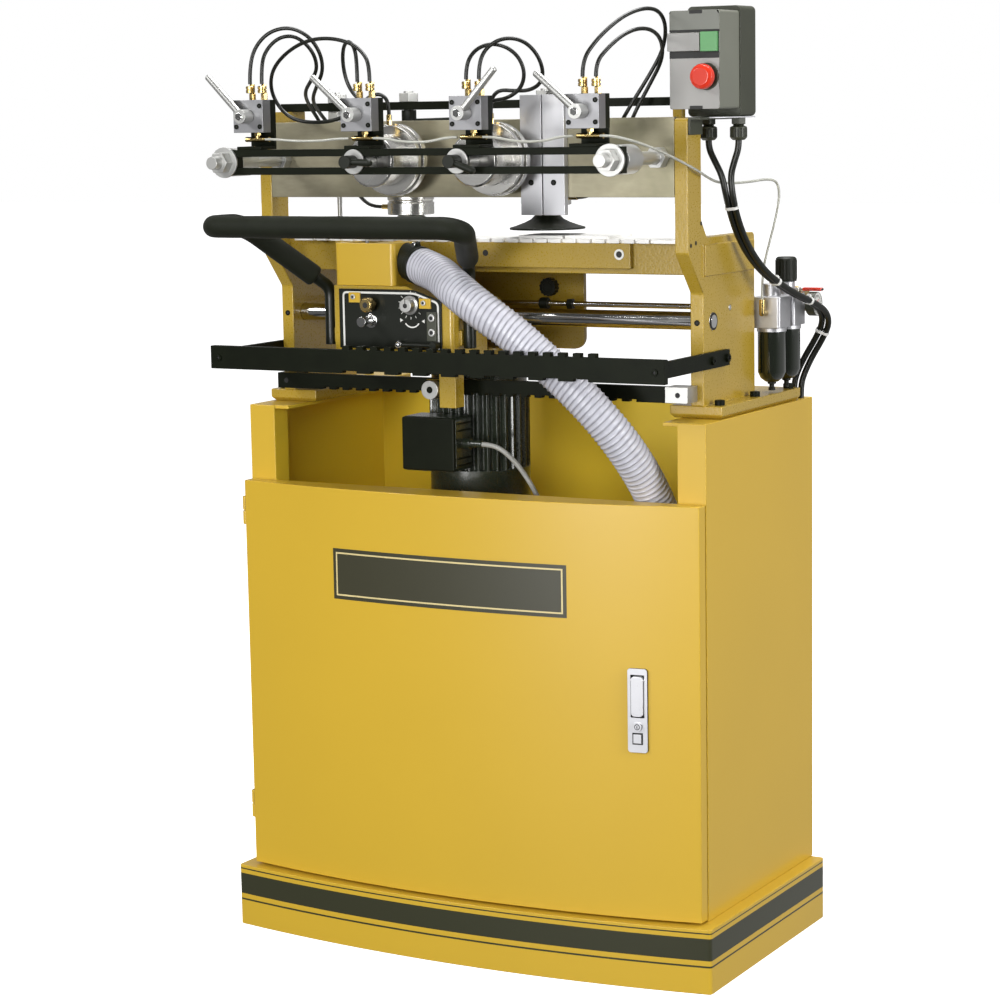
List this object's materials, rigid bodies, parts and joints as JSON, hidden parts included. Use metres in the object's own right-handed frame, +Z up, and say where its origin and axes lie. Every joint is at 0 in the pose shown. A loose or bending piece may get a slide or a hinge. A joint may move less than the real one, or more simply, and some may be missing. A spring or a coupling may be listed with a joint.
{
  "type": "dovetail machine",
  "caption": "Floor-standing pneumatic dovetail machine with a cabinet base, finger templates, air clamps and a swinging motor carriage with handle and dust hose.",
  "frame": {"origin": "on the floor, in the middle of the plinth's side walls", "axes": "+X to the operator's right along the guide rod, +Y to the back, +Z up"},
  "size_m": [0.8955, 0.6725, 1.506],
  "materials": {
    "plinth": "smooth gloss enamel",
    "cabinet": "smooth gloss enamel",
    "door": "smooth gloss enamel",
    "uprights": "cast, enamelled",
    "table": "cast, enamelled",
    "table_plate": "ground",
    "table_panels": "enamelled",
    "fence_plate": "ground",
    "guide_rods": "polished",
    "template_bar": "black oxide",
    "lower_template": "black oxide",
    "clamp_bar": "black oxide",
    "clamp_hardware": "plated",
    "clamp_cylinders": "turned",
    "front_piston_left": "turned",
    "front_piston_right": "turned",
    "clamp_foot_left": "moulded",
    "clamp_foot_right": "moulded",
    "top_rail": "black oxide",
    "side_fence": "brushed",
    "valve_bodies": "anodised",
    "valve_lever_1": "plated",
    "valve_lever_2": "plated",
    "valve_lever_3": "plated",
    "valve_lever_4": "plated",
    "ratchet_lever_left": "moulded",
    "ratchet_lever_right": "moulded",
    "rail_lever": "moulded",
    "brass_fittings": "turned",
    "switch_base": "moulded",
    "switch_cover": "moulded",
    "start_button": "moulded",
    "stop_button": "moulded",
    "air_unit": "die cast",
    "air_bowls": "moulded",
    "regulator_knob": "moulded",
    "pressure_gauge": "plated rim",
    "shutoff_valve": "turned",
    "shutoff_lever": "moulded",
    "air_hoses": "smooth tube",
    "air_line": "clear tube",
    "switch_cable": "sheathed",
    "motor_cable": "sheathed",
    "dust_hose": "ribbed",
    "latch_housing": "plated",
    "latch_handle": "plated",
    "bushings": "turned",
    "carriage": "cast, enamelled",
    "belt_panel": "black enamel",
    "hood": "enamelled sheet",
    "handle_tube": "black enamel",
    "handle_grip": "foam",
    "motor": "black enamel",
    "belt": "moulded",
    "spindle": "ground",
    "motor_pulley": "turned",
    "follower_roller": "ground",
    "index_knob": "graduated",
    "lock_lever": "moulded"
  },
  "bodies": {
    "frame": {"plinth": "plinth", "cabinet": "cabinet", "uprights": "uprights", "table": "table", "table_plate": "table_plate", "table_panels": "table_panels", "fence_plate": "fence_plate", "guide_rods": "guide_rods", "template_bar": "template_bar", "lower_template": "lower_template", "clamp_bar": "clamp_bar", "clamp_hardware": "clamp_hardware", "clamp_cylinders": "clamp_cylinders", "top_rail": "top_rail", "side_fence": "side_fence", "valve_bodies": "valve_bodies", "brass_fittings": "brass_fittings", "switch_base": "switch_base", "switch_cover": "switch_cover", "air_unit": "air_unit", "air_bowls": "air_bowls", "pressure_gauge": "pressure_gauge", "shutoff_valve": "shutoff_valve", "air_hoses": "air_hoses", "air_line": "air_line", "switch_cable": "switch_cable", "motor_cable": "motor_cable", "dust_hose": "dust_hose"},
    "door": {"door": "door", "latch_housing": "latch_housing"},
    "saddle": {"bushings": "bushings"},
    "carriage": {"carriage": "carriage", "belt_panel": "belt_panel", "hood": "hood", "handle_tube": "handle_tube", "handle_grip": "handle_grip", "motor": "motor", "belt": "belt"},
    "latch_handle": {"latch_handle": "latch_handle"},
    "valve_lever_1": {"valve_lever_1": "valve_lever_1"},
    "valve_lever_2": {"valve_lever_2": "valve_lever_2"},
    "valve_lever_3": {"valve_lever_3": "valve_lever_3"},
    "valve_lever_4": {"valve_lever_4": "valve_lever_4"},
    "front_piston_left": {"front_piston_left": "front_piston_left"},
    "front_piston_right": {"front_piston_right": "front_piston_right"},
    "clamp_foot_left": {"clamp_foot_left": "clamp_foot_left"},
    "clamp_foot_right": {"clamp_foot_right": "clamp_foot_right"},
    "ratchet_lever_left": {"ratchet_lever_left": "ratchet_lever_left"},
    "ratchet_lever_right": {"ratchet_lever_right": "ratchet_lever_right"},
    "rail_lever": {"rail_lever": "rail_lever"},
    "start_button": {"start_button": "start_button"},
    "stop_button": {"stop_button": "stop_button"},
    "regulator_knob": {"regulator_knob": "regulator_knob"},
    "shutoff_lever": {"shutoff_lever": "shutoff_lever"},
    "spindle": {"spindle": "spindle"},
    "motor_pulley": {"motor_pulley": "motor_pulley"},
    "follower_roller": {"follower_roller": "follower_roller"},
    "index_knob": {"index_knob": "index_knob"},
    "lock_lever": {"lock_lever": "lock_lever"}
  },
  "joints": [
    {"name": "door_hinge", "type": "hinge", "parent": "frame", "child": "door", "pos_m": [-0.419, -0.203, 0.45], "axis": [0, 0, 1], "range_deg": [-110, 0]},
    {"name": "latch_lift", "type": "hinge", "parent": "door", "child": "latch_handle", "pos_m": [0.31646, -0.23448, 0.486], "axis": [0.9881, 0.154, 0], "range_deg": [-35, 0]},
    {"name": "valve_1_turn", "type": "hinge", "parent": "frame", "child": "valve_lever_1", "pos_m": [-0.2925, -0.35, 1.35225], "axis": [0, 1, 0], "range_deg": [0, 90]},
    {"name": "valve_2_turn", "type": "hinge", "parent": "frame", "child": "valve_lever_2", "pos_m": [-0.095, -0.35, 1.35225], "axis": [0, 1, 0], "range_deg": [0, 90]},
    {"name": "valve_3_turn", "type": "hinge", "parent": "frame", "child": "valve_lever_3", "pos_m": [0.0965, -0.35, 1.35225], "axis": [0, 1, 0], "range_deg": [-90, 0]},
    {"name": "valve_4_turn", "type": "hinge", "parent": "frame", "child": "valve_lever_4", "pos_m": [0.2925, -0.35, 1.35225], "axis": [0, 1, 0], "range_deg": [0, 90]},
    {"name": "front_clamp_left", "type": "slide", "parent": "frame", "child": "front_piston_left", "axis": [0, 1, 0], "range_m": [0, 0.02]},
    {"name": "down_clamp_left", "type": "slide", "parent": "frame", "child": "clamp_foot_left", "axis": [0, 0, -1], "range_m": [0, 0.0125]},
    {"name": "front_clamp_right", "type": "slide", "parent": "frame", "child": "front_piston_right", "axis": [0, 1, 0], "range_m": [0, 0.02]},
    {"name": "down_clamp_right", "type": "slide", "parent": "frame", "child": "clamp_foot_right", "axis": [0, 0, -1], "range_m": [-0.013, 0.006]},
    {"name": "ratchet_left_turn", "type": "hinge", "parent": "frame", "child": "ratchet_lever_left", "pos_m": [-0.1, -0.36, 1.281], "axis": [0, 1, 0], "range_deg": [-150, 150]},
    {"name": "ratchet_right_turn", "type": "hinge", "parent": "frame", "child": "ratchet_lever_right", "pos_m": [0.082, -0.36, 1.281], "axis": [0, 1, 0], "range_deg": [-150, 150]},
    {"name": "rail_lever_turn", "type": "hinge", "parent": "frame", "child": "rail_lever", "pos_m": [-0.15, -0.098, 1.35], "axis": [0, 0, 1], "range_deg": [-30, 120]},
    {"name": "start_press", "type": "slide", "parent": "frame", "child": "start_button", "axis": [0, 1, 0], "range_m": [0, 0.003], "stiffness_N_per_m": 500},
    {"name": "stop_press", "type": "slide", "parent": "frame", "child": "stop_button", "axis": [0, 1, 0], "range_m": [0, 0.006], "stiffness_N_per_m": 500},
    {"name": "regulator_turn", "type": "hinge", "parent": "frame", "child": "regulator_knob", "pos_m": [0.398, 0.16, 1.09], "axis": [0, 0, 1], "range_deg": [-180, 180]},
    {"name": "shutoff_turn", "type": "hinge", "parent": "frame", "child": "shutoff_lever", "pos_m": [0.398, 0.202, 1.058], "axis": [0, 0, 1], "range_deg": [0, 90]},
    {"name": "carriage_travel", "type": "slide", "parent": "frame", "child": "saddle", "axis": [1, 0, 0], "range_m": [-0.13, 0.285], "deforming": ["dust_hose", "motor_cable"]},
    {"name": "carriage_swing", "type": "hinge", "parent": "saddle", "child": "carriage", "pos_m": [-0.109, -0.094, 1.028], "axis": [1, 0, 0], "range_deg": [-6, 6], "deforming": ["dust_hose", "motor_cable"]},
    {"name": "motor_spin", "type": "hinge", "parent": "carriage", "child": "motor_pulley", "pos_m": [-0.055, -0.052, 0.95], "axis": [0, 0, 1], "continuous": true},
    {"name": "spindle_spin", "type": "hinge", "parent": "carriage", "child": "spindle", "pos_m": [-0.178, -0.19, 1], "axis": [0, 0, 1], "continuous": true},
    {"name": "roller_spin", "type": "hinge", "parent": "carriage", "child": "follower_roller", "pos_m": [-0.0415, -0.23, 0.921], "axis": [0, 1, 0], "continuous": true},
    {"name": "index_turn", "type": "hinge", "parent": "carriage", "child": "index_knob", "pos_m": [-0.073, -0.235, 1.054], "axis": [0, 1, 0], "range_deg": [-150, 150]},
    {"name": "lock_turn", "type": "hinge", "parent": "carriage", "child": "lock_lever", "pos_m": [-0.026, -0.235, 0.992], "axis": [0, 1, 0], "range_deg": [-40, 35]}
  ],
  "couplings": [
    {"joint": "spindle_spin", "follows": "motor_spin", "ratio": 3}
  ]
}
